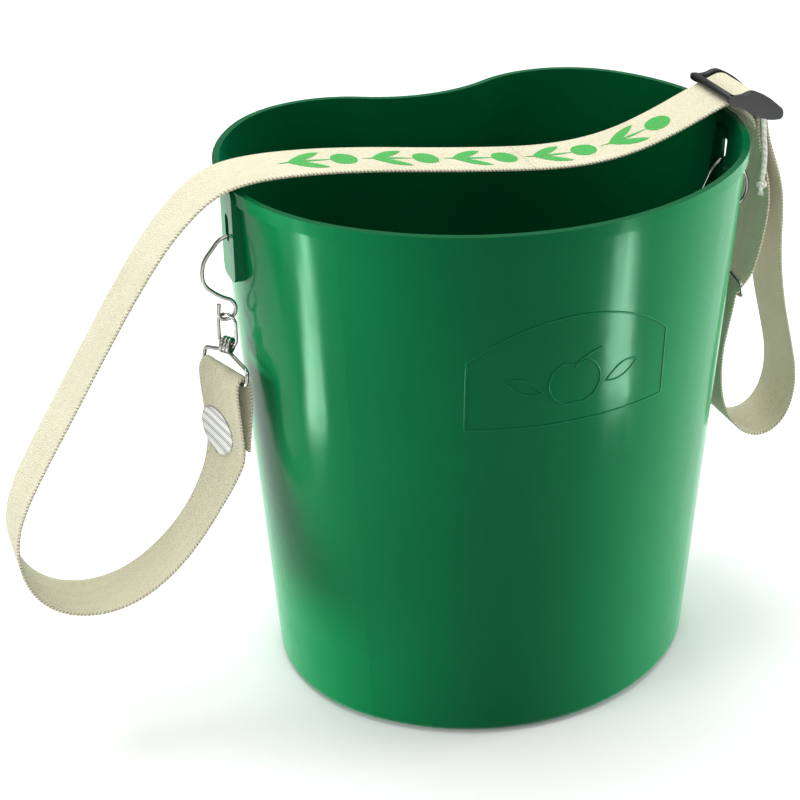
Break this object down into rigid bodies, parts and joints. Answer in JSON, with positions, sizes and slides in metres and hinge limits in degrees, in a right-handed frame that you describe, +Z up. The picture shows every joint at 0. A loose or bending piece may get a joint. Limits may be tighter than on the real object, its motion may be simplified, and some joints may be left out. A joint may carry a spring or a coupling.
{
  "type": "picking bucket",
  "caption": "Kidney-shaped moulded picking bucket hung by wire hooks on a webbing strap that crosses its open mouth, with a slider and cord.",
  "frame": {"origin": "middle of the bucket's flat foot, on the surface it stands on", "axes": "+Z up; X along the bucket's long side, from hook to hook, with the slider at +X; -Y is the bulging front, +Y the hollow that fits the belly"},
  "size_m": [0.5366, 0.2527, 0.3718],
  "materials": {
    "bucket": "glossy moulded polypropylene",
    "wire": "bright nickel-plated steel wire",
    "webbing": "twill-woven polyester webbing",
    "label": "thin woven tape",
    "thread": "sewing thread",
    "slider": "black coated",
    "cord": "braided cord"
  },
  "bodies": {
    "bucket": {"bucket_shell": "bucket"},
    "mouth_strap": {"strap_over": "webbing", "strap_slider_arch": "webbing", "strap_end_fold": "webbing", "stitching_end": "thread"},
    "slider": {"slider_frame": "slider", "release_cord": "cord", "cord_knot": "cord"},
    "left_strap": {"strap_left_loop": "webbing", "strap_left_tab": "webbing", "strap_label": "label", "stitching_left": "thread"},
    "left_ring": {"ring_left": "wire"},
    "left_link": {"link_left": "wire"},
    "left_hook": {"hook_left": "wire"},
    "right_strap": {"strap_right_loop": "webbing"},
    "right_ring": {"ring_right": "wire"},
    "right_link": {"link_right": "wire"},
    "right_hook": {"hook_right": "wire"}
  },
  "joints": [
    {"name": "strap_lift", "type": "slide", "parent": "bucket", "child": "mouth_strap", "axis": [0, 0, 1], "range_m": [0, 0.011]},
    {"name": "slider_tilt", "type": "hinge", "parent": "mouth_strap", "child": "slider", "pos_m": [0.1682, -0.008, 0.3616], "axis": [0, 1, 0], "range_deg": [0, 10]},
    {"name": "left_swing", "type": "hinge", "parent": "mouth_strap", "child": "left_strap", "pos_m": [-0.166, -0.008, 0.3205], "axis": [0, 1, 0], "range_deg": [0, 15]},
    {"name": "left_ring_tilt", "type": "hinge", "parent": "left_strap", "child": "left_ring", "pos_m": [-0.173, -0.008, 0.2295], "axis": [-0.342, 0.9397, 0], "range_deg": [-4, 6]},
    {"name": "left_link_tilt", "type": "hinge", "parent": "left_ring", "child": "left_link", "pos_m": [-0.16987, -0.00686, 0.24861], "axis": [-0.342, 0.9397, 0], "range_deg": [-18, 18]},
    {"name": "left_hook_tilt", "type": "hinge", "parent": "left_link", "child": "left_hook", "pos_m": [-0.1696, -0.008, 0.2682], "axis": [-0.342, 0.9397, 0], "range_deg": [-10, 10]},
    {"name": "right_swing", "type": "hinge", "parent": "mouth_strap", "child": "right_strap", "pos_m": [0.166, -0.008, 0.3205], "axis": [0, -1, 0], "range_deg": [0, 15]},
    {"name": "right_ring_tilt", "type": "hinge", "parent": "right_strap", "child": "right_ring", "pos_m": [0.173, -0.008, 0.2295], "axis": [0, -1, 0], "range_deg": [0, 3.5]},
    {"name": "right_link_tilt", "type": "hinge", "parent": "right_ring", "child": "right_link", "pos_m": [0.16967, -0.008, 0.24861], "axis": [0, -1, 0], "range_deg": [-18, 18]},
    {"name": "right_hook_tilt", "type": "hinge", "parent": "right_link", "child": "right_hook", "pos_m": [0.1696, -0.008, 0.2682], "axis": [0, -1, 0], "range_deg": [-10, 10]}
  ],
  "couplings": [
    {"joint": "left_link_tilt", "follows": "left_ring_tilt", "ratio": -1.9753},
    {"joint": "left_hook_tilt", "follows": "left_ring_tilt", "ratio": 0.9753},
    {"joint": "right_link_tilt", "follows": "right_ring_tilt", "ratio": -1.9753},
    {"joint": "right_hook_tilt", "follows": "right_ring_tilt", "ratio": 0.9753}
  ]
}
